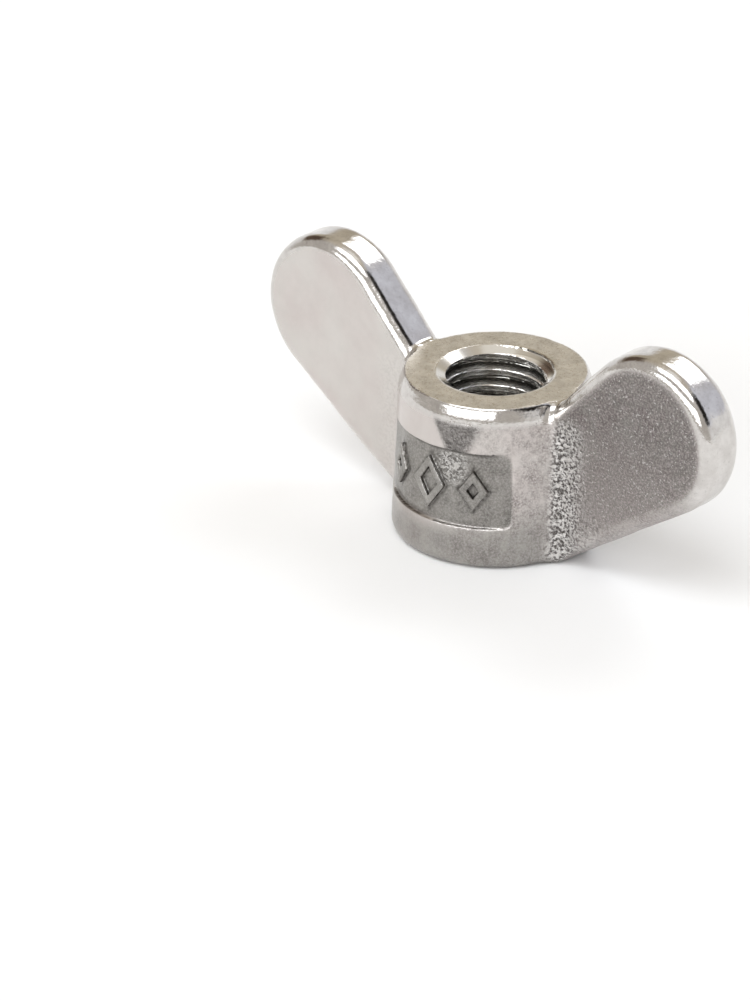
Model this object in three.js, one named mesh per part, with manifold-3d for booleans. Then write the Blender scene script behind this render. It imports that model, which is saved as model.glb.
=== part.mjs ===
// Round-wing nut, M10 x 1.5, cast in one piece in stainless steel.
//
// Millimetres. The origin is the centre of the bearing face, where the thread's axis leaves it.
// +Z runs along the thread, away from the bearing face, the wings lie along X, and the marked
// panel faces -Y.

import * as THREE from 'three';
import { mergeVertices } from 'three/addons/utils/BufferGeometryUtils.js';
import Module from 'manifold-3d';

const wasm = await Module();
wasm.setup();

const degrees = Math.PI / 180;

// Thread, M10 x 1.5 coarse
const THREAD_PITCH = 1.5;
const THREAD_MAJOR_R = 5.0;
const THREAD_MINOR_R = 4.25;
const THREAD_FLANK_ANGLE = 30 * degrees;
const THREAD_START_Z = -1.03; // where the groove's middle crosses the +X side, below the bearing face
const THREAD_STEPS_PER_TURN = 24;

// Hub
const HUB_HEIGHT = 14.5;
const HUB_BASE_R = 8.8;
const HUB_TOP_R = 8.15;
const BASE_FILLET = 0.9;
const RIM_ROUND = 1.3;
const RIM_FACED_OFF = 0.15; // what grinding the top face flat took off the rim's round
const COUNTERSINK_R = 5.1;
const COUNTERSINK_SLOPE = 30 * degrees; // from the faces, a 120 degree countersink
const HUB_SEGMENTS = 48;
const FILLET_STEPS = 3;

// Wings: a round tip, with a straight inner edge and a straight lower edge tangent to it
const SPAN = 50;
const TIP_R = 6.95;
const TIP_CENTRE_Z = 14.7;
const INNER_EDGE_ANGLE = 43.5 * degrees; // from the vertical
const LOWER_EDGE_ANGLE = 56 * degrees; // from the vertical
const WING_THICKNESS = 4.35;
const WING_EDGE_FILLET = 1.2;
const WING_FOOT_Z = 0.7; // the wing starts this far above the bearing face
const WING_INNER_END_X = 6.2; // inside the hub's wall
const CROWN_BLEND_DROP = 0.25; // the wing runs out onto the hub this far under its top face
const CROWN_BLEND_LENGTH = 0.8;
const CROWN_BLEND_STEPS = 4;
const WING_CURVE_SEGMENTS = 22;

// The cove between a wing's flat side and the hub
const COVE_R = 1.7;
const COVE_STEPS = 5;

// Marked panel: a shallow recess round the front of the hub, with three raised diamonds in it
const PANEL_LOW_Z = 3.75;
const PANEL_HIGH_Z = 10.5;
const PANEL_HALF_ANGLE = 52 * degrees;
const PANEL_DEPTH = 0.35;
const PANEL_STEPS = 16;
const MARK_HEIGHT = 0.3;
const DIAMONDS = [
  { angle: -29 * degrees, width: 2.6, height: 3.6 },
  { angle: 0, width: 3.4, height: 4.8 },
  { angle: 29 * degrees, width: 2.6, height: 3.6 },
];

const CLEARANCE = 1; // how far a cutting body runs past what it cuts

// A closed three.js geometry as a solid that can be joined and cut.
function solid(geometry) {
  const bare = geometry.clone();
  bare.deleteAttribute('normal');
  bare.deleteAttribute('uv');
  const merged = mergeVertices(bare);
  const mesh = new wasm.Mesh({
    numProp: 3,
    vertProperties: new Float32Array(merged.attributes.position.array),
    triVerts: new Uint32Array(merged.index.array),
  });
  return new wasm.Manifold(mesh);
}

function toGeometry(manifold) {
  const mesh = manifold.getMesh();
  const geometry = new THREE.BufferGeometry();
  geometry.setAttribute('position', new THREE.BufferAttribute(mesh.vertProperties, 3));
  geometry.setIndex(new THREE.BufferAttribute(mesh.triVerts, 1));
  geometry.computeVertexNormals();
  return geometry;
}

// Turns a profile of (radius, height) points round the Z axis.
function revolve(profile) {
  const closed = [...profile, profile[0]];
  return new THREE.LatheGeometry(closed, HUB_SEGMENTS).rotateX(Math.PI / 2);
}

// Extrudes a shape drawn in X and Z along Y, centred on the XZ plane.
function extrudeAlongY(shape, thickness, options = {}) {
  const geometry = new THREE.ExtrudeGeometry(shape, {
    depth: thickness,
    bevelEnabled: false,
    curveSegments: WING_CURVE_SEGMENTS,
    ...options,
  });
  return geometry.rotateX(Math.PI / 2).translate(0, thickness / 2, 0);
}

function arcPoints(centreR, centreZ, radius, from, to, steps) {
  return Array.from({ length: steps + 1 }, (_, i) => {
    const angle = from + ((to - from) * i) / steps;
    return new THREE.Vector2(centreR + radius * Math.cos(angle), centreZ + radius * Math.sin(angle));
  });
}

// The hub's outer radius at a height, on its tapered side.
function hubRadius(z) {
  return HUB_BASE_R + ((HUB_TOP_R - HUB_BASE_R) * z) / HUB_HEIGHT;
}

// The hub is a ring: tapered outside, flat above and below, bored to the thread's minor diameter.
function hub() {
  const countersinkDepth = (COUNTERSINK_R - THREAD_MINOR_R) * Math.tan(COUNTERSINK_SLOPE);
  const baseR = hubRadius(BASE_FILLET) - BASE_FILLET;
  const rimZ = HUB_HEIGHT + RIM_FACED_OFF - RIM_ROUND;
  const rimR = hubRadius(rimZ) - RIM_ROUND;
  const rimEnd = Math.asin((HUB_HEIGHT - rimZ) / RIM_ROUND);
  return solid(revolve([
    new THREE.Vector2(COUNTERSINK_R, 0),
    ...arcPoints(baseR, BASE_FILLET, BASE_FILLET, -Math.PI / 2, 0, FILLET_STEPS),
    ...arcPoints(rimR, rimZ, RIM_ROUND, 0, rimEnd, FILLET_STEPS),
    new THREE.Vector2(COUNTERSINK_R, HUB_HEIGHT),
    new THREE.Vector2(THREAD_MINOR_R, HUB_HEIGHT - countersinkDepth),
    new THREE.Vector2(THREAD_MINOR_R, countersinkDepth),
  ]));
}

// The groove of the thread: a trapezoid swept up a helix, a little longer than the bore.
function threadGroove() {
  const rootHalfWidth = THREAD_PITCH / 16;
  const innerR = THREAD_MINOR_R - THREAD_PITCH / 6;
  const innerHalfWidth = rootHalfWidth + (THREAD_MAJOR_R - innerR) * Math.tan(THREAD_FLANK_ANGLE);
  const section = [
    [innerR, -innerHalfWidth],
    [THREAD_MAJOR_R, -rootHalfWidth],
    [THREAD_MAJOR_R, rootHalfWidth],
    [innerR, innerHalfWidth],
  ];
  const corners = section.length;
  const turns = (HUB_HEIGHT + CLEARANCE - THREAD_START_Z) / THREAD_PITCH;
  const steps = Math.ceil(turns * THREAD_STEPS_PER_TURN);
  const positions = [];
  for (let step = 0; step <= steps; step++) {
    const angle = (2 * Math.PI * step) / THREAD_STEPS_PER_TURN;
    const height = THREAD_START_Z + (THREAD_PITCH * step) / THREAD_STEPS_PER_TURN;
    for (const [radius, rise] of section) {
      positions.push(radius * Math.cos(angle), radius * Math.sin(angle), height + rise);
    }
  }
  const index = [];
  for (let step = 0; step < steps; step++) {
    for (let corner = 0; corner < corners; corner++) {
      const a = step * corners + corner;
      const b = step * corners + ((corner + 1) % corners);
      index.push(a, a + corners, b + corners, a, b + corners, b);
    }
  }
  const last = steps * corners;
  index.push(0, 1, 2, 0, 2, 3);
  index.push(last, last + 2, last + 1, last, last + 3, last + 2);
  const geometry = new THREE.BufferGeometry();
  geometry.setAttribute('position', new THREE.Float32BufferAttribute(positions, 3));
  geometry.setIndex(index);
  return solid(geometry);
}

// The +X wing seen from the front. The inner edge leans out from the hub's rim, the tip is a
// round of more than half a turn, and the lower edge comes back to the hub's bottom corner.
function wingOutline() {
  const tip = new THREE.Vector2(SPAN / 2 - TIP_R, TIP_CENTRE_Z);
  const innerNormal = Math.PI - INNER_EDGE_ANGLE;
  const lowerNormal = -LOWER_EDGE_ANGLE;
  const innerRun = new THREE.Vector2(Math.sin(INNER_EDGE_ANGLE), Math.cos(INNER_EDGE_ANGLE));
  const lowerRun = new THREE.Vector2(Math.sin(LOWER_EDGE_ANGLE), Math.cos(LOWER_EDGE_ANGLE));
  const innerTangent = new THREE.Vector2(Math.cos(innerNormal), Math.sin(innerNormal));
  innerTangent.multiplyScalar(TIP_R).add(tip);
  const lowerTangent = new THREE.Vector2(Math.cos(lowerNormal), Math.sin(lowerNormal));
  lowerTangent.multiplyScalar(TIP_R).add(tip);

  const crownZ = HUB_HEIGHT - CROWN_BLEND_DROP;
  const crown = innerRun.clone().multiplyScalar((crownZ - innerTangent.y) / innerRun.y);
  crown.add(innerTangent);
  const blendTop = innerRun.clone().multiplyScalar(CROWN_BLEND_LENGTH).add(crown);
  const heel = lowerRun.clone().multiplyScalar(-lowerTangent.y / lowerRun.y).add(lowerTangent);

  const shape = new THREE.Shape();
  shape.moveTo(WING_INNER_END_X, WING_FOOT_Z);
  shape.lineTo(heel.x - WING_FOOT_Z, WING_FOOT_Z);
  shape.absarc(tip.x, tip.y, TIP_R, lowerNormal, innerNormal, false);
  const blendFoot = new THREE.Vector2(crown.x - CROWN_BLEND_LENGTH, crown.y);
  const blend = new THREE.QuadraticBezierCurve(blendTop, crown, blendFoot);
  for (const point of blend.getPoints(CROWN_BLEND_STEPS)) {
    shape.lineTo(point.x, point.y);
  }
  shape.lineTo(WING_INNER_END_X, crown.y);
  return shape;
}

// The +X wing, with all its edges rounded over.
function wing() {
  const geometry = extrudeAlongY(wingOutline(), WING_THICKNESS - 2 * WING_EDGE_FILLET, {
    bevelEnabled: true,
    bevelThickness: WING_EDGE_FILLET,
    bevelSize: WING_EDGE_FILLET,
    bevelOffset: -WING_EDGE_FILLET,
    bevelSegments: FILLET_STEPS,
  });
  return solid(geometry);
}

// The thickening at a wing's root: a plan outline that runs from the wing's sides onto the hub
// in two coves, kept to the wing's own outline and to the hub's plain side.
function wingRoot() {
  const side = WING_THICKNESS / 2;
  const hubR = hubRadius(HUB_HEIGHT / 2);
  const coveY = side + COVE_R;
  const coveX = Math.sqrt((hubR + COVE_R) ** 2 - coveY ** 2);
  const onHub = Math.atan2(coveY, coveX) - Math.PI;
  const cove = arcPoints(coveX, coveY, COVE_R, onHub, -Math.PI / 2, COVE_STEPS);
  const mirroredCove = cove.map((point) => new THREE.Vector2(point.x, -point.y));
  const plan = new THREE.Shape([
    new THREE.Vector2(WING_INNER_END_X, -side),
    ...mirroredCove,
    ...cove.reverse(),
    new THREE.Vector2(WING_INNER_END_X, side),
  ]);
  const height = HUB_HEIGHT - RIM_ROUND - BASE_FILLET;
  const column = new THREE.ExtrudeGeometry(plan, { depth: height, bevelEnabled: false });
  column.translate(0, 0, BASE_FILLET);
  return solid(column).intersect(solid(extrudeAlongY(wingOutline(), 2 * coveY)));
}

// A sleeve that follows the hub's taper, between two distances outward from its side.
function sleeve(inward, outward) {
  return solid(revolve([
    new THREE.Vector2(hubRadius(PANEL_LOW_Z) + inward, PANEL_LOW_Z),
    new THREE.Vector2(hubRadius(PANEL_LOW_Z) + outward, PANEL_LOW_Z),
    new THREE.Vector2(hubRadius(PANEL_HIGH_Z) + outward, PANEL_HIGH_Z),
    new THREE.Vector2(hubRadius(PANEL_HIGH_Z) + inward, PANEL_HIGH_Z),
  ]));
}

// The space of the recessed panel, a sector of a sleeve centred on -Y.
function panelSpace() {
  const reach = HUB_BASE_R + 2 * CLEARANCE;
  const from = -Math.PI / 2 - PANEL_HALF_ANGLE;
  const to = -Math.PI / 2 + PANEL_HALF_ANGLE;
  const sector = new THREE.Shape([
    new THREE.Vector2(0, 0),
    ...arcPoints(0, 0, reach, from, to, PANEL_STEPS),
  ]);
  const wedge = new THREE.ExtrudeGeometry(sector, { depth: HUB_HEIGHT, bevelEnabled: false });
  return sleeve(-PANEL_DEPTH, CLEARANCE).intersect(solid(wedge));
}

// The marks raised from the panel's floor, each a prism pointing out from the thread's axis.
function marks() {
  const middleZ = (PANEL_LOW_Z + PANEL_HIGH_Z) / 2;
  const skin = sleeve(-PANEL_DEPTH - MARK_HEIGHT, -PANEL_DEPTH + MARK_HEIGHT);
  return DIAMONDS.map(({ angle, width, height }) => {
    const outline = new THREE.Shape([
      new THREE.Vector2(0, middleZ - height / 2),
      new THREE.Vector2(width / 2, middleZ),
      new THREE.Vector2(0, middleZ + height / 2),
      new THREE.Vector2(-width / 2, middleZ),
    ]);
    const prism = extrudeAlongY(outline, HUB_BASE_R);
    prism.translate(0, -HUB_BASE_R, 0).rotateZ(angle);
    return skin.intersect(solid(prism));
  });
}

function wingNut() {
  const rightSide = wing().add(wingRoot());
  const leftSide = rightSide.rotate([0, 0, 180]);
  let body = hub().add(rightSide).add(leftSide);
  body = body.subtract(panelSpace());
  for (const mark of marks()) {
    body = body.add(mark);
  }
  return body.subtract(threadGroove());
}

const stainlessSteel = new THREE.MeshStandardMaterial({
  color: 0xb9b4ae,
  roughness: 0.34,
  metalness: 1,
});

const mesh = new THREE.Mesh(toGeometry(wingNut()), stainlessSteel);
mesh.name = 'wing_nut';

const group = new THREE.Group();
group.add(mesh);

export default group;
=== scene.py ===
"""A round-wing nut, M10 x 1.5, cast in one piece in stainless steel, on a pale studio floor.

The nut's surface is one signed distance function in millimetres, built the way the part is made:
a casting with coved joins and rounded edges, then the machined top, bearing face and thread. A
dual contouring pass turns it into a mesh of quads that keeps the machined edges sharp.
"""

import math
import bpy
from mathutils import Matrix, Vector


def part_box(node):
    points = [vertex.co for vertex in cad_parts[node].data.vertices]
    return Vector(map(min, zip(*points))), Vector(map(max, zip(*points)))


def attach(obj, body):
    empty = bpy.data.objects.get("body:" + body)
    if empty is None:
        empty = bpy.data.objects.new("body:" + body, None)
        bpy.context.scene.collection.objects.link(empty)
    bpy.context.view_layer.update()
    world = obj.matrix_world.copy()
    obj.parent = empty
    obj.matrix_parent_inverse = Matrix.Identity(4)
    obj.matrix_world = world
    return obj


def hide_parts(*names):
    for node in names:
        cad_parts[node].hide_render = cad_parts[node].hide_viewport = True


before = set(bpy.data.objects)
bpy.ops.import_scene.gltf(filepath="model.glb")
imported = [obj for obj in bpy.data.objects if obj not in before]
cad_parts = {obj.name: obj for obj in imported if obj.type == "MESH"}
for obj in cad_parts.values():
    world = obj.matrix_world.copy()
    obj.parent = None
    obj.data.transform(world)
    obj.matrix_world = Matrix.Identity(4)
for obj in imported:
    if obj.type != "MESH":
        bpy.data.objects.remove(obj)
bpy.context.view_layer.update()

from types import SimpleNamespace

import bpy
import numpy as np
from mathutils import Matrix, Vector

MM = 0.001
NODE = "wing_nut"
node_low, node_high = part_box(NODE)

# ---------------------------------------------------------------- driving dimensions, in millimetres

SPAN = (node_high.x - node_low.x) / MM
HUB_HEIGHT = 14.5
HUB_BASE_R = (node_high.y - node_low.y) / MM / 2 + 0.04  # the box ends where the base's round does
HUB_TOP_R = 8.15
TAPER = (HUB_BASE_R - HUB_TOP_R) / HUB_HEIGHT
SHOULDER_Z = 13.35  # above this the hub's side leans in to the rim
SHOULDER_LEAN = math.radians(21)
SHOULDER_SOFTNESS = 0.12
RIM_ROUND = 0.35
RIM_FACED_OFF = 0.1
BASE_ROUND = 1.0
BASE_FACED_OFF = 0.06
FACED_R = 7.95

TIP_R = 6.95
TIP_X = SPAN / 2 - TIP_R
TIP_Z = 14.7
INNER_EDGE_ANGLE = math.radians(43.5)
LOWER_EDGE_ANGLE = math.radians(56)
WING_THICKNESS = 4.35
WING_EDGE_ROUND = 1.25
WING_FOOT_Z = 0.3
WING_FOOT_ROUND = 0.5
COVE_R = 1.7
CROWN_COVE_R = 0.9  # the cove's radius at the top of the hub
CROWN_DEPTH = (3.5, 0.5)  # the cove narrows between these depths below the top

THREAD_PITCH = 1.5
THREAD_MAJOR_R = 5.0
THREAD_MINOR_R = 4.25
THREAD_START_Z = -1.03
THREAD_SOFTNESS = 0.04
COUNTERSINK_R = 5.1
COUNTERSINK_SLOPE = math.radians(30)

PANEL_LOW_Z = 3.75
PANEL_HIGH_Z = 10.5
PANEL_MIDDLE_Z = (PANEL_LOW_Z + PANEL_HIGH_Z) / 2
PANEL_HALF_ANGLE = math.radians(52)
PANEL_DEPTH = 0.35
PANEL_FADE = (math.radians(34), math.radians(51))  # the panel gets shallower between these angles
PANEL_FADE_SHARE = 0.7
PANEL_CORNER_R = 0.9
PANEL_FLOOR_ROUND = 0.16
PANEL_EDGE_ROUND = 0.14
MARK_HEIGHT = 0.34
MARK_STROKE = 0.64
MARK_EDGE_ROUND = 0.14
MARK_COVE_R = 0.1
DIAMONDS = [  # angle round the hub, width, height
    (math.radians(-29), 2.6, 3.6),
    (0.0, 3.4, 4.8),
    (math.radians(29), 2.6, 3.6),
]

SAG_HEIGHT = 0.02  # how far the cast skin's waves stand from the true shape, broadest first
RIPPLE_HEIGHT = 0.008
PIT_HEIGHT = 0.045
PIT_LIMITS = (-2, 0.6)  # pits are deep and the lumps between them low

CELL = 0.2  # size of a mesh cell
GRID_MARGIN = 2.03  # in cells; not a whole number, so that no grid point lies on the base
BISECTIONS = 7  # halvings of a cell's edge when the surface is looked for on it
FLAT_PULL = 0.04  # keeps a flat cell's vertex near the middle of its crossings
SHARP_LIMIT = 0.955  # a cell's mean normal is shorter than this on a sharp edge
SETTLE_LIMIT = 0.03  # the furthest that a vertex moves when it settles on the surface
EDGE_STEP_IN = 0.45  # how far towards a face's middle its normal is read beside a sharp edge
MACHINED_MARGIN = 0.02  # how far off a machined surface still counts as machined
RELIEF_HEIGHT = 0.02


# ---------------------------------------------------------------- the surface as a distance

def join(a, b, radius):
    """Union of two distances with a cove of this radius between them."""
    corner = np.hypot(np.maximum(radius - a, 0), np.maximum(radius - b, 0))
    return np.maximum(radius, np.minimum(a, b)) - corner


def overlap(a, b, radius):
    """Intersection of two distances with an edge rounded to this radius."""
    corner = np.hypot(np.maximum(radius + a, 0), np.maximum(radius + b, 0))
    return np.minimum(-radius, np.maximum(a, b)) + corner


def smooth_step(value, low, high):
    t = np.clip((value - low) / (high - low), 0, 1)
    return t * t * (3 - 2 * t)


def between(value, rise, fall):
    """1 between two soft edges: it rises over the first range and falls over the second."""
    return smooth_step(value, *rise) * (1 - smooth_step(value, *fall))


class Waves:
    """A smooth random field: plane waves of about one wavelength in random directions."""

    def __init__(self, wavelength, count, seed):
        rng = np.random.default_rng(seed)
        direction = rng.normal(size=(count, 3))
        direction /= np.linalg.norm(direction, axis=1, keepdims=True)
        length = wavelength * rng.uniform(0.75, 1.35, size=(count, 1))
        self.vectors = 2 * np.pi * direction / length
        self.phases = rng.uniform(0, 2 * np.pi, size=count)
        self.scale = math.sqrt(2 / count)

    def __call__(self, points):
        total = np.zeros(len(points))
        for vector, phase in zip(self.vectors, self.phases):
            total += np.sin(points @ vector + phase)
        return total * self.scale


sag = Waves(9.0, 14, 11)
ripple = Waves(2.6, 20, 12)
grain = Waves(0.95, 28, 13)


def hub_radius(z):
    return HUB_BASE_R - TAPER * z


def hub_distance(rho, z):
    side = (rho - hub_radius(z)) * math.cos(math.atan(TAPER))
    outward = rho - hub_radius(SHOULDER_Z)
    shoulder = outward * math.cos(SHOULDER_LEAN) + (z - SHOULDER_Z) * math.sin(SHOULDER_LEAN)
    side = overlap(side, shoulder, SHOULDER_SOFTNESS)
    hub = overlap(side, z - (HUB_HEIGHT + RIM_FACED_OFF), RIM_ROUND)
    return overlap(hub, -BASE_FACED_OFF - z, BASE_ROUND)


def wing_outline_distance(across, z):
    """Both wings seen from the front, as one: across is the distance from the thread's axis."""
    dx = across - TIP_X
    dz = z - TIP_Z
    sin_in, cos_in = math.sin(INNER_EDGE_ANGLE), math.cos(INNER_EDGE_ANGLE)
    sin_low, cos_low = math.sin(LOWER_EDGE_ANGLE), math.cos(LOWER_EDGE_ANGLE)
    inner = dz * sin_in - dx * cos_in - TIP_R
    lower = dx * cos_low - dz * sin_low - TIP_R
    tip = np.hypot(dx, dz) - TIP_R
    past_tangents = (dx * sin_in + dz * cos_in > 0) | (dx * sin_low + dz * cos_low > 0)
    return np.where(past_tangents, tip, np.maximum(inner, lower))


def wing_distance(x, y, z):
    outline = wing_outline_distance(np.abs(x), z)
    outline = overlap(outline, WING_FOOT_Z - z, WING_FOOT_ROUND)
    return overlap(outline, np.abs(y) - WING_THICKNESS / 2, WING_EDGE_ROUND)


def round_hub(x, y):
    """The angle round the hub, from -Y towards +X."""
    return np.arctan2(x, -y)


def unrolled(angle):
    """How far round the hub an angle goes at the panel's middle height."""
    return angle * hub_radius(PANEL_MIDDLE_Z)


def panel_outline_distance(angle, z):
    """A rounded rectangle unrolled from the front of the hub."""
    dx = np.abs(unrolled(angle)) - unrolled(PANEL_HALF_ANGLE) + PANEL_CORNER_R
    dz = np.abs(z - PANEL_MIDDLE_Z) - (PANEL_HIGH_Z - PANEL_LOW_Z) / 2 + PANEL_CORNER_R
    outside = np.hypot(np.maximum(dx, 0), np.maximum(dz, 0))
    return outside + np.minimum(np.maximum(dx, dz), 0) - PANEL_CORNER_R


def marked_panel(body, rho, angle, z):
    """Sinks the panel into the body and raises the diamonds on its floor."""
    fade = smooth_step(np.abs(angle), *PANEL_FADE)
    floor_r = hub_radius(z) - PANEL_DEPTH * (1 - PANEL_FADE_SHARE * fade)
    space = overlap(panel_outline_distance(angle, z), floor_r - rho, PANEL_FLOOR_ROUND)
    body = overlap(body, -space, PANEL_EDGE_ROUND)
    for centre, width, height in DIAMONDS:
        sideways = np.abs(unrolled(angle) - unrolled(centre)) / (width / 2)
        upward = np.abs(z - PANEL_MIDDLE_Z) / (height / 2)
        outline = (sideways + upward - 1) / math.hypot(2 / width, 2 / height)
        outline = np.abs(outline + MARK_STROKE / 2) - MARK_STROKE / 2
        mark = overlap(outline, rho - floor_r - MARK_HEIGHT, MARK_EDGE_ROUND)
        mark = np.maximum(mark, floor_r - PANEL_DEPTH - rho)
        body = join(body, mark, MARK_COVE_R)
    return body


def thread_distance(rho, angle, z):
    """The tapped wall: solid outside the bore, with a groove that climbs one pitch a turn."""
    turns = (z - THREAD_START_Z) / THREAD_PITCH - angle / (2 * np.pi)
    off_middle = np.abs(turns - np.round(turns)) * THREAD_PITCH
    flank_r = THREAD_MAJOR_R - (off_middle - THREAD_PITCH / 16) * math.sqrt(3)
    crest = overlap(THREAD_MINOR_R - rho, (flank_r - rho) / 2, THREAD_SOFTNESS)
    return join(crest, THREAD_MAJOR_R - rho, THREAD_SOFTNESS)


def nut_distance(points):
    """Distance from the finished nut's surface, negative inside the metal."""
    x, y, z = points.T
    rho = np.hypot(x, y)

    # The casting
    crown = smooth_step(z, *(HUB_HEIGHT - depth for depth in CROWN_DEPTH))
    cove = COVE_R + (CROWN_COVE_R - COVE_R) * crown
    body = join(hub_distance(rho, z), wing_distance(x, y, z), cove)
    body = marked_panel(body, rho, round_hub(x, y), z)
    near = np.abs(body) < 3 * CELL
    if near.any():
        body[near] -= cast_unevenness(points[near])

    # The machining
    top = np.maximum(rho - FACED_R, HUB_HEIGHT - z)
    body = np.maximum(body, -top)
    body = np.maximum(body, -z)
    bore = thread_distance(rho, np.arctan2(y, x), z)
    inward = (COUNTERSINK_R - rho) * math.sin(COUNTERSINK_SLOPE)
    mouth = inward - np.minimum(z, HUB_HEIGHT - z) * math.cos(COUNTERSINK_SLOPE)
    mouth = np.minimum(mouth, HUB_HEIGHT + RIM_FACED_OFF - z)
    return np.maximum(body, np.maximum(bore, mouth))


def pitting(points):
    """Where the cast skin is coarse: by the +X wing's root and foot, and on the hub's front."""
    x, y, z = points.T
    angle = round_hub(x, y)
    flat_side = smooth_step(np.abs(y), 1.2, 2.1)
    root = np.where(x > 0, 1.0, 0.1) * between(np.hypot(x, y), (8.7, 9.3), (9.9, 12.8))
    foot = smooth_step(x, 8.7, 10.0) * (1 - smooth_step(x + 0.9 * z, 13.0, 22.0))
    wing = flat_side * np.maximum(root, 0.4 * foot) * (1 - smooth_step(z, 12.6, 14.2))
    panel = 1 - smooth_step(panel_outline_distance(angle, z), -0.8, 0.0)
    panel *= between(angle, (0.0, 0.2), (0.32, 0.5)) * smooth_step(z, 6.5, 9.0)
    return np.clip(wing + 0.6 * panel + 0.45 * collar_pits_and_reflection_mask(points), 0, 1)


def collar_pits_and_reflection_mask(points):
    """1 on a patch of pitted skin between the panel and the rim, wider towards the rim, where a dark
    reflection is painted.
    """
    x, y, z = points.T
    angle = round_hub(x, y)
    lean = 0.06 * (z - PANEL_HIGH_Z)
    across = smooth_step(angle + lean, 0.18, 0.24) * (1 - smooth_step(angle - lean, 0.36, 0.5))
    return across * between(z, (PANEL_HIGH_Z - 0.3, PANEL_HIGH_Z), (12.9, 13.5))


def cast_unevenness(points):
    soft = SAG_HEIGHT * sag(points) + RIPPLE_HEIGHT * ripple(points)
    return soft + pitting(points) * PIT_HEIGHT * np.clip(grain(points), *PIT_LIMITS)


# ---------------------------------------------------------------- the distance as a mesh

def gradient(points, step=0.02):
    """Unit direction out of the metal."""
    slopes = np.empty_like(points)
    for axis in range(3):
        shift = np.zeros(3)
        shift[axis] = step
        slopes[:, axis] = nut_distance(points + shift) - nut_distance(points - shift)
    return slopes / np.maximum(np.linalg.norm(slopes, axis=1, keepdims=True), 1e-12)


def sample_grid():
    """Distances on a regular grid round the nut, with the grid's low corner and size."""
    low = np.array(node_low) / MM - GRID_MARGIN * CELL
    size = np.ceil((np.array(node_high) / MM - low) / CELL).astype(int) + 3
    axes = [low[k] + CELL * np.arange(size[k]) for k in range(3)]
    values = np.empty(size)
    for i, x in enumerate(axes[0]):
        y, z = np.meshgrid(axes[1], axes[2], indexing="ij")
        points = np.column_stack([np.full(y.size, x), y.ravel(), z.ravel()])
        values[i] = nut_distance(points).reshape(y.shape)
    return values, low, size


def surface_between(start, run, start_filled):
    """Where the surface cuts each grid edge, which has one end in the metal and one outside."""
    filled = np.where(start_filled, 0.0, 1.0)
    empty = 1 - filled
    for _ in range(BISECTIONS):
        middle = (filled + empty) / 2
        inside = nut_distance(start + middle[:, None] * run) < 0
        filled = np.where(inside, middle, filled)
        empty = np.where(inside, empty, middle)
    return start + ((filled + empty) / 2)[:, None] * run


def cells_round(index, axis, size):
    """The four cells that share each grid edge, in order round it."""
    u, v = [k for k in range(3) if k != axis]
    cells = []
    for du, dv in ((-1, -1), (0, -1), (0, 0), (-1, 0)):
        cell = index.copy()
        cell[:, u] += du
        cell[:, v] += dv
        cells.append(np.ravel_multi_index(cell.T, size))
    return np.column_stack(cells)


def crossings(values, low, size):
    """Where grid edges cross the surface: the points, and the cells round each, turned to face out."""
    all_points = []
    all_cells = []
    for axis in range(3):
        first = [slice(None)] * 3
        second = [slice(None)] * 3
        first[axis] = slice(0, -1)
        second[axis] = slice(1, None)
        start_filled = values[tuple(first)] < 0
        index = np.argwhere(start_filled != (values[tuple(second)] < 0))
        start_filled = start_filled[tuple(index.T)]
        all_points.append(surface_between(low + CELL * index, CELL * np.eye(3)[axis], start_filled))
        cells = cells_round(index, axis, size)
        turned = start_filled if axis == 1 else ~start_filled
        cells[turned] = cells[turned][:, ::-1]
        all_cells.append(cells)
    return np.vstack(all_points), np.vstack(all_cells)


def place_vertices(points, cells, low, size):
    """One vertex a cell, where the planes through its crossings meet best."""
    normals = gradient(points)
    keys, slot = np.unique(cells.ravel(), return_inverse=True)
    slot = slot.ravel()
    edge = np.repeat(np.arange(len(points)), 4)
    count = np.bincount(slot).astype(float)
    total = len(keys)

    def gather(weights):
        return np.bincount(slot, weights[edge], minlength=total)

    mean = np.column_stack([gather(points[:, k]) for k in range(3)]) / count[:, None]
    offsets = np.einsum("ij,ij->i", normals[edge], points[edge] - mean[slot])
    system = np.zeros((total, 3, 3))
    target = np.zeros((total, 3))
    for i in range(3):
        target[:, i] = np.bincount(slot, normals[edge, i] * offsets, minlength=total)
        for j in range(3):
            system[:, i, j] = gather(normals[:, i] * normals[:, j])
    for k in range(3):
        system[:, k, k] += FLAT_PULL * count
    shift = np.linalg.solve(system, target[:, :, None])[:, :, 0]
    vertices = mean + shift
    corner = low + CELL * np.column_stack(np.unravel_index(keys, size))
    vertices = np.clip(vertices, corner, corner + CELL)
    mean_normal = np.column_stack([gather(normals[:, k]) for k in range(3)]) / count[:, None]
    sharp = np.linalg.norm(mean_normal, axis=1) < SHARP_LIMIT
    return vertices, slot.reshape(-1, 4), sharp


def settle(vertices, sharp):
    """Moves smooth vertices the last few microns onto the surface."""
    smooth = ~sharp
    moved = vertices[smooth]
    normal = gradient(moved)
    moved -= normal * np.clip(nut_distance(moved), -SETTLE_LIMIT, SETTLE_LIMIT)[:, None]
    vertices[smooth] = moved
    return vertices


def corner_normals(vertices, quads, sharp):
    """Smooth vertices share one normal; on a sharp edge each face reads its own side."""
    owner = quads.ravel()
    corners = gradient(vertices, 0.05)[owner]
    on_edge = np.flatnonzero(sharp[owner])
    places = vertices[owner[on_edge]]
    middles = vertices[quads].mean(axis=1)[on_edge // 4]
    corners[on_edge] = gradient(places + EDGE_STEP_IN * (middles - places))
    return corners


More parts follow.
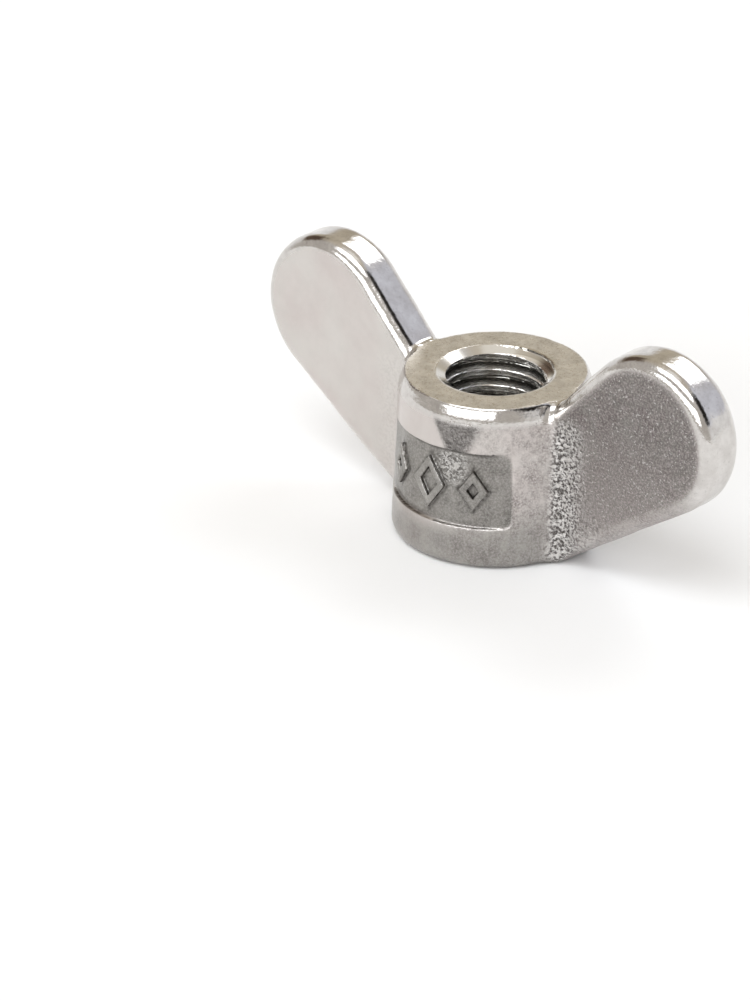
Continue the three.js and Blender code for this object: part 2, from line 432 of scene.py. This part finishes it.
def build_nut():
    values, low, size = sample_grid()
    points, cells = crossings(values, low, size)
    vertices, quads, sharp = place_vertices(points, cells, low, size)
    vertices = settle(vertices, sharp)
    vertices = np.clip(vertices, np.array(node_low) / MM, np.array(node_high) / MM)
    corners = corner_normals(vertices, quads, sharp)

    mesh = bpy.data.meshes.new("wing_nut_casting")
    mesh.from_pydata((vertices * MM).tolist(), [], quads.tolist())
    mesh.update()
    mesh.polygons.foreach_set("use_smooth", np.ones(len(quads), bool))
    mesh.normals_split_custom_set(corners.tolist())
    for name, field in MASKS.items():
        layer = mesh.attributes.new(name, "FLOAT", "POINT")
        layer.data.foreach_set("value", field(vertices).astype(np.float32))
    nut = bpy.data.objects.new("wing_nut_casting", mesh)
    bpy.context.scene.collection.objects.link(nut)
    return nut


# ---------------------------------------------------------------- where each finish lies, and where shade and reflections are painted

def polished_mask(points):
    """1 on the wings' polished edges and the hub's rim, 0 on the wings' flat sides and undersides."""
    x, y, z = points.T
    on_edge = smooth_step(wing_outline_distance(np.abs(x), z), -1.15, -0.8)
    dx = np.abs(x) - TIP_X
    dz = z - TIP_Z
    run = dx * math.sin(LOWER_EDGE_ANGLE) + dz * math.cos(LOWER_EDGE_ANGLE)
    drop = dx * math.cos(LOWER_EDGE_ANGLE) - dz * math.sin(LOWER_EDGE_ANGLE)
    on_edge *= 1 - (1 - smooth_step(run, -1.5, 3.5)) * smooth_step(drop, 1.0, 3.0)
    off_hub = smooth_step(np.hypot(x, y), 8.3, 9.2)
    rim = smooth_step(z, SHOULDER_Z - 0.6, SHOULDER_Z)
    return np.maximum(on_edge * off_hub, rim * (1 - off_hub))


def panel_mask(points):
    """1 on the marked panel's floor and on the flange below it, 0 on the collar above."""
    x, y, z = points.T
    angle = round_hub(x, y)
    on_floor = 1 - smooth_step(panel_outline_distance(angle, z), -0.2, 0.0)
    flange = 0.75 * (1 - smooth_step(z, PANEL_LOW_Z - 1.5, PANEL_LOW_Z + 0.5 + 2 * np.abs(angle)))
    on_hub = 1 - smooth_step(np.hypot(x, y), 9.0, 10.0)
    return np.maximum(on_floor, flange) * on_hub


def hub_side_mask(points):
    """1 on the hub's side towards the +X wing, where the skin is stained."""
    return between(round_hub(points[:, 0], points[:, 1]), (0.1, 0.5), (2.0, 2.6))


def rough_wing_and_reflection_mask(points):
    """1 on the +X wing, whose skin is rougher and carries a painted dark reflection, and less round its
    edge.
    """
    x, _, z = points.T
    at_edge = smooth_step(wing_outline_distance(np.abs(x), z), -1.6, -0.9)
    return smooth_step(x, 7.5, 9.5) * (1 - 0.55 * at_edge)


def crevice_shade_mask(points):
    """1 in sharp inner corners, where a step away from the metal meets metal again; it sets where shade
    is painted into the colour.
    """
    reach = 0.45
    away = nut_distance(points + reach * gradient(points, 0.05)) / reach
    return smooth_step(1 - away, 0.06, 0.6)


MASKS = {
    "pitting": pitting,
    "polished": polished_mask,
    "dark_wing": rough_wing_and_reflection_mask,
    "crevice": crevice_shade_mask,
    "panel": panel_mask,
    "hub_side": hub_side_mask,
    "collar_patch": collar_pits_and_reflection_mask,
}


# ---------------------------------------------------------------- material

class Nodes:
    """A small helper that adds and links shader nodes in a material's or a world's tree."""

    def __init__(self, owner):
        owner.use_nodes = True
        self.tree = owner.node_tree

    def add(self, kind, inputs=(), **settings):
        node = self.tree.nodes.new(kind)
        for name, value in settings.items():
            setattr(node, name, value)
        for name, value in dict(inputs).items():
            self.feed(node.inputs[name], value)
        return node

    def feed(self, socket, value):
        if isinstance(value, bpy.types.NodeSocket):
            self.tree.links.new(value, socket)
        else:
            socket.default_value = value

    def math(self, operation, a, b=0.0):
        return self.add("ShaderNodeMath", {0: a, 1: b}, operation=operation).outputs[0]

    def plus(self, a, b):
        return self.math("ADD", a, b)

    def minus(self, a, b):
        return self.math("SUBTRACT", a, b)

    def times(self, a, b):
        return self.math("MULTIPLY", a, b)

    def larger(self, a, b):
        return self.math("MAXIMUM", a, b)

    def mix(self, factor, a, b):
        return self.add("ShaderNodeMix", {0: factor, 2: a, 3: b}).outputs[0]

    def mix_colour(self, factor, a, b):
        node = self.add("ShaderNodeMix", data_type="RGBA")
        self.feed(node.inputs[0], factor)
        self.feed(node.inputs[6], (*a, 1) if isinstance(a, tuple) else a)
        self.feed(node.inputs[7], (*b, 1) if isinstance(b, tuple) else b)
        return node.outputs[2]

    def ramp(self, value, low, high):
        """0 below low and 1 above high, or the other way round where high is the smaller."""
        return self.add("ShaderNodeMapRange", {0: value, 1: low, 2: high, 3: 0.0, 4: 1.0}).outputs[0]

    def within(self, value, low, high, soft):
        """1 from low to high, with soft edges."""
        rise = self.ramp(value, low - soft, low + soft)
        return self.times(rise, self.ramp(value, high + soft, high - soft))

    def noise(self, vector, size_mm, detail=2.0, roughness=0.5):
        node = self.add("ShaderNodeTexNoise", {
            "Vector": vector, "Scale": 1 / (size_mm * MM), "Detail": detail, "Roughness": roughness,
        })
        return node.outputs[0]

    def mask(self, name):
        return self.add("ShaderNodeAttribute", attribute_name=name).outputs["Fac"]


def finishes(n, place):
    """How much of each finish, painted shade and painted reflection there is: the mesh's masks, and
    what was machined, found by its place.
    """
    x, y, z = n.add("ShaderNodeSeparateXYZ", {0: place}).outputs
    at = SimpleNamespace(**{name: n.mask(name) for name in MASKS})

    radius = n.math("SQRT", n.plus(n.times(x, x), n.times(y, y)))
    top = n.math("GREATER_THAN", z, (HUB_HEIGHT - MACHINED_MARGIN) * MM)
    bottom = n.math("LESS_THAN", z, MACHINED_MARGIN * MM)
    near_axis = n.math("LESS_THAN", radius, FACED_R * MM)
    at.faced = n.times(n.larger(top, bottom), near_axis)

    at.bore = n.math("LESS_THAN", radius, (COUNTERSINK_R + MACHINED_MARGIN) * MM)
    from_middle = n.math("ABSOLUTE", n.minus(z, HUB_HEIGHT / 2 * MM))
    countersink_depth = (COUNTERSINK_R - THREAD_MINOR_R) * math.tan(COUNTERSINK_SLOPE)
    at.mouth = n.math("GREATER_THAN", from_middle, (HUB_HEIGHT / 2 - countersink_depth) * MM)

    at.machined = n.larger(at.faced, at.bore)
    at.skin = n.minus(1.0, n.larger(at.machined, at.polished))
    # The +X wing's rough skin, which also carries a painted dark reflection
    at.rough_wing = n.times(at.skin, at.dark_wing)
    at.low = n.ramp(z, 15.0 * MM, 4.0 * MM)
    return at


def textures(n, place):
    """The noises in the steel, from soft clouds to single pits."""
    return SimpleNamespace(
        cloud=n.ramp(n.noise(place, 5.0, 3.0), 0.35, 0.65),
        stain=n.ramp(n.noise(place, 2.2, 5.0, 0.75), 0.36, 0.64),
        blotch=n.noise(place, 2.2, 4.0, 0.6),
        smudge=n.ramp(n.noise(place, 1.3, 4.0, 0.65), 0.3, 0.7),
        wobble=n.noise(place, 0.9, 2.0, 0.5),
        pit=n.ramp(n.noise(place, 0.27, 2.0, 0.6), 0.39, 0.56),
        grit=n.ramp(n.noise(place, 0.24, 3.0, 0.7), 0.3, 0.7),
        fine=n.noise(place, 0.2, 2.0, 0.55),
        speck=n.ramp(n.noise(place, 0.19, 1.0), 0.66, 0.72),
        fleck=n.ramp(n.noise(place, 0.18, 3.0, 0.7), 0.42, 0.64),
    )


def satin_colour(n, at, tex):
    """The hub's and the -X wing's skin, stained on the hub's side towards the +X wing."""
    satin = n.mix_colour(tex.cloud, (0.585, 0.537, 0.518), (0.615, 0.59, 0.564))
    satin = n.mix_colour(n.times(tex.smudge, 0.35), satin, (0.69, 0.65, 0.625))
    stained = n.mix_colour(tex.fleck, (0.28, 0.25, 0.24), (0.58, 0.54, 0.525))
    return n.mix_colour(n.times(tex.stain, at.hub_side), satin, stained)


def panel_colour(n, tex):
    panel = n.mix_colour(tex.smudge, (0.10, 0.096, 0.088), (0.25, 0.24, 0.222))
    return n.mix_colour(n.times(tex.fleck, 0.45), panel, (0.44, 0.43, 0.41))


def rough_wing_and_reflection_colour(n, at, tex):
    """The +X wing's skin, darkened by a painted reflection over its rougher grain, which gets paler and
    coarser towards its lower edge.
    """
    # The painted dark reflection, with stains in it
    reflection_tone = n.mix_colour(tex.stain, (0.14, 0.12, 0.119), (0.20, 0.196, 0.182))
    reflection_tone = n.mix_colour(at.low, reflection_tone, (0.28, 0.258, 0.245))
    flecks = n.times(tex.fleck, n.mix(at.low, 0.7, 1.0))
    wing = n.mix_colour(flecks, reflection_tone, (0.42, 0.38, 0.37))
    return n.mix_colour(n.times(tex.speck, 0.55), wing, (0.80, 0.78, 0.76))


def cast_colour(n, at, tex):
    """All of the skin, with its pits, a painted dark reflection on the patch under the rim and painted
    shade in its corners.
    """
    colour = n.mix_colour(n.times(at.panel, 0.85), satin_colour(n, at, tex), panel_colour(n, tex))
    # The +X wing's rougher skin with its painted dark reflection
    colour = n.mix_colour(at.rough_wing, colour, rough_wing_and_reflection_colour(n, at, tex))
    pitted = n.mix_colour(tex.pit, (0.07, 0.065, 0.06), (0.84, 0.82, 0.80))
    colour = n.mix_colour(n.times(at.pitting, 0.75), colour, pitted)
    # A painted dark reflection on the patch under the rim, mottled with flecks
    coarse = n.mix_colour(tex.fleck, (0.07, 0.064, 0.06), (0.22, 0.21, 0.20))
    patch = n.times(at.collar_patch, n.mix(tex.smudge, 0.9, 0.65))
    colour = n.mix_colour(patch, colour, coarse)
    # Painted shade: the skin's inner corners are darkened
    return n.mix_colour(n.times(at.crevice, at.skin), colour, (0.07, 0.065, 0.06))


def steel_colour(n, at, tex):
    """The skin's colour, and over it those of what was polished, tapped and faced."""
    buffed = n.mix_colour(tex.smudge, (0.54, 0.515, 0.495), (0.70, 0.68, 0.66))
    buffed = n.mix_colour(n.times(tex.speck, 0.4), buffed, (0.36, 0.34, 0.32))
    # Painted shade in the thread's roots, where the inner-corner mask is high
    tapped = n.mix_colour(n.times(at.crevice, 0.75), (0.96, 0.945, 0.92), (0.24, 0.23, 0.21))
    tapped = n.mix_colour(at.mouth, tapped, (0.66, 0.635, 0.59))
    ground = n.mix_colour(tex.smudge, (0.48, 0.445, 0.40), (0.74, 0.705, 0.65))
    ground = n.mix_colour(n.times(tex.grit, 0.3), ground, (0.78, 0.76, 0.72))
    colour = n.mix_colour(at.polished, cast_colour(n, at, tex), buffed)
    colour = n.mix_colour(at.bore, colour, tapped)
    return n.mix_colour(at.faced, colour, ground)


def steel_roughness(n, at, tex):
    rough = n.mix(tex.blotch, 0.24, 0.36)
    rough = n.mix(at.rough_wing, rough, 0.42)
    rough = n.mix(n.times(at.polished, 0.95), rough, n.mix(tex.blotch, 0.06, 0.18))
    rough = n.mix(at.faced, rough, n.mix(tex.grit, 0.24, 0.36))
    return n.mix(at.bore, rough, 0.17)


def steel_relief(n, at, tex):
    """Fine unevenness: grain and pits in the skin, wear where it was polished, none where machined."""
    strength = n.larger(n.mix(at.rough_wing, 0.15, 2.5), n.times(at.panel, 1.4))
    strength = n.larger(strength, n.times(n.times(tex.stain, at.hub_side), 2.6))
    pits = n.times(tex.pit, n.times(at.pitting, 6.0))
    relief = n.times(n.plus(n.times(tex.fine, strength), pits), at.skin)
    wear = n.plus(n.times(tex.wobble, 1.1), n.times(tex.fine, 0.5))
    relief = n.plus(relief, n.times(at.polished, wear))
    return n.times(relief, n.minus(1.0, at.machined))


def steel():
    material = bpy.data.materials.new("stainless_steel")
    n = Nodes(material)
    place = n.add("ShaderNodeTexCoord").outputs["Object"]
    at = finishes(n, place)
    tex = textures(n, place)
    relief = steel_relief(n, at, tex)
    bump = n.add("ShaderNodeBump", {"Strength": 1.0, "Distance": RELIEF_HEIGHT * MM, "Height": relief})
    bsdf = n.tree.nodes["Principled BSDF"]
    n.feed(bsdf.inputs["Base Color"], steel_colour(n, at, tex))
    n.feed(bsdf.inputs["Roughness"], steel_roughness(n, at, tex))
    n.feed(bsdf.inputs["Normal"], bump.outputs[0])
    bsdf.inputs["Metallic"].default_value = 1.0
    return material


# ---------------------------------------------------------------- studio

WALL_WARM = (0.56, 0.50, 0.395)
WALL_COOL = (0.76, 0.78, 0.86)
FRONT_WALL = (0.60, 0.57, 0.53)
SKIRTING = (1.0, 1.0, 1.0)
CEILING = (0.68, 0.62, 0.53)
OVERHEAD = (1.0, 0.97, 0.92)
BROWN_GAP = (0.13, 0.09, 0.065)
BLACK_GAP = (0.02, 0.017, 0.014)
SOFTBOX = (4.0, 4.1, 4.2)
SOFTBOXES = [  # ranges of x, y and z
    ((-0.4, 0.6), (-1.1, -0.3), (0.18, 0.48)),
    ((-0.35, 0.5), (-0.62, -0.24), (0.74, 1.1)),
    ((-0.36, 0.18), (0.4, 1.1), (0.62, 0.8)),
]
FLOOR_SIZE = 4
GRAIN_OF_PAPER_MM = 60.0


def studio_floor():
    bpy.ops.mesh.primitive_plane_add(size=FLOOR_SIZE)
    plane = bpy.context.object
    plane.name = "studio_floor"
    paper = bpy.data.materials.new("floor_paper")
    n = Nodes(paper)
    place = n.add("ShaderNodeTexCoord").outputs["Object"]
    cloud = n.noise(place, GRAIN_OF_PAPER_MM)
    tone = n.mix_colour(cloud, (0.92, 0.92, 0.92), (0.94, 0.94, 0.94))
    bsdf = n.tree.nodes["Principled BSDF"]
    n.feed(bsdf.inputs["Base Color"], tone)
    bsdf.inputs["Roughness"].default_value = 0.9
    plane.data.materials.append(paper)


def surroundings():
    """A pale room with three softboxes, in front, over the front and behind, dark at the sides.

    x, y and z are the direction looked in, so each thing in the room is a range of them.
    """
    world = bpy.data.worlds.new("studio")
    n = Nodes(world)
    direction = n.add("ShaderNodeTexCoord").outputs["Generated"]
    x, y, z = n.add("ShaderNodeSeparateXYZ", {0: direction}).outputs

    def patch(across, ahead, upward):
        """1 in a patch of the room, given the ranges of x, y and z that it spans."""
        share = n.times(n.within(x, *across, 0.04), n.within(y, *ahead, 0.04))
        return n.times(share, n.within(z, *upward, 0.03))

    light = n.mix_colour(n.ramp(x, -0.3, 0.4), WALL_WARM, WALL_COOL)
    light = n.mix_colour(n.ramp(z, 0.34, 0.24), light, SKIRTING)
    light = n.mix_colour(n.ramp(y, 0.1, -0.3), light, FRONT_WALL)
    light = n.mix_colour(n.ramp(z, 0.84, 0.94), light, CEILING)
    light = n.mix_colour(n.ramp(z, 0.96, 0.975), light, OVERHEAD)

    # Dark gaps at both sides, the left one lower
    right = n.ramp(x, -0.2, 0.2)
    beside = n.times(n.ramp(n.math("ABSOLUTE", x), 0.42, 0.56), n.within(y, -0.2, 0.33, 0.07))
    below_top = n.larger(right, n.ramp(z, 0.78, 0.66))
    gap = n.times(n.times(beside, below_top), n.ramp(z, 0.26, 0.38))
    light = n.mix_colour(gap, light, n.mix_colour(right, BROWN_GAP, BLACK_GAP))

    for softbox in SOFTBOXES:
        light = n.mix_colour(patch(*softbox), light, SOFTBOX)
    n.feed(n.tree.nodes["Background"].inputs["Color"], light)
    bpy.context.scene.world = world


# The photograph's view: azimuth from -Y towards +X, elevation, roll and distance to the nut
VIEW_AZIMUTH = math.radians(43.2)
VIEW_ELEVATION = math.radians(26.7)
VIEW_ROLL = math.radians(-0.2)
VIEW_DISTANCE = 0.4265
LENS = 180.0
SENSOR_HEIGHT = 36.0
ORIGIN_RIGHT = 0.0102  # where the nut's origin stands in the view plane, from its middle
ORIGIN_UP = -0.0020


def camera():
    back = Vector((
        math.sin(VIEW_AZIMUTH) * math.cos(VIEW_ELEVATION),
        -math.cos(VIEW_AZIMUTH) * math.cos(VIEW_ELEVATION),
        math.sin(VIEW_ELEVATION),
    ))
    right = Vector((math.cos(VIEW_AZIMUTH), math.sin(VIEW_AZIMUTH), 0))
    up = back.cross(right)
    tilted_right = right * math.cos(VIEW_ROLL) + up * math.sin(VIEW_ROLL)
    tilted_up = back.cross(tilted_right)
    data = bpy.data.cameras.new("camera")
    data.lens = LENS
    data.sensor_fit = "VERTICAL"
    data.sensor_height = SENSOR_HEIGHT
    data.clip_start = 0.01
    view = bpy.data.objects.new("camera", data)
    turn = Matrix((tilted_right, tilted_up, back)).transposed().to_4x4()
    place = back * VIEW_DISTANCE - tilted_right * ORIGIN_RIGHT - tilted_up * ORIGIN_UP
    view.matrix_world = Matrix.Translation(place) @ turn
    bpy.context.scene.collection.objects.link(view)
    bpy.context.scene.camera = view


# ---------------------------------------------------------------- the scene

bpy.context.scene.view_settings.view_transform = "Standard"
camera()
nut = build_nut()
nut.data.materials.append(steel())
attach(nut, "root")
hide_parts(NODE)
studio_floor()
surroundings()
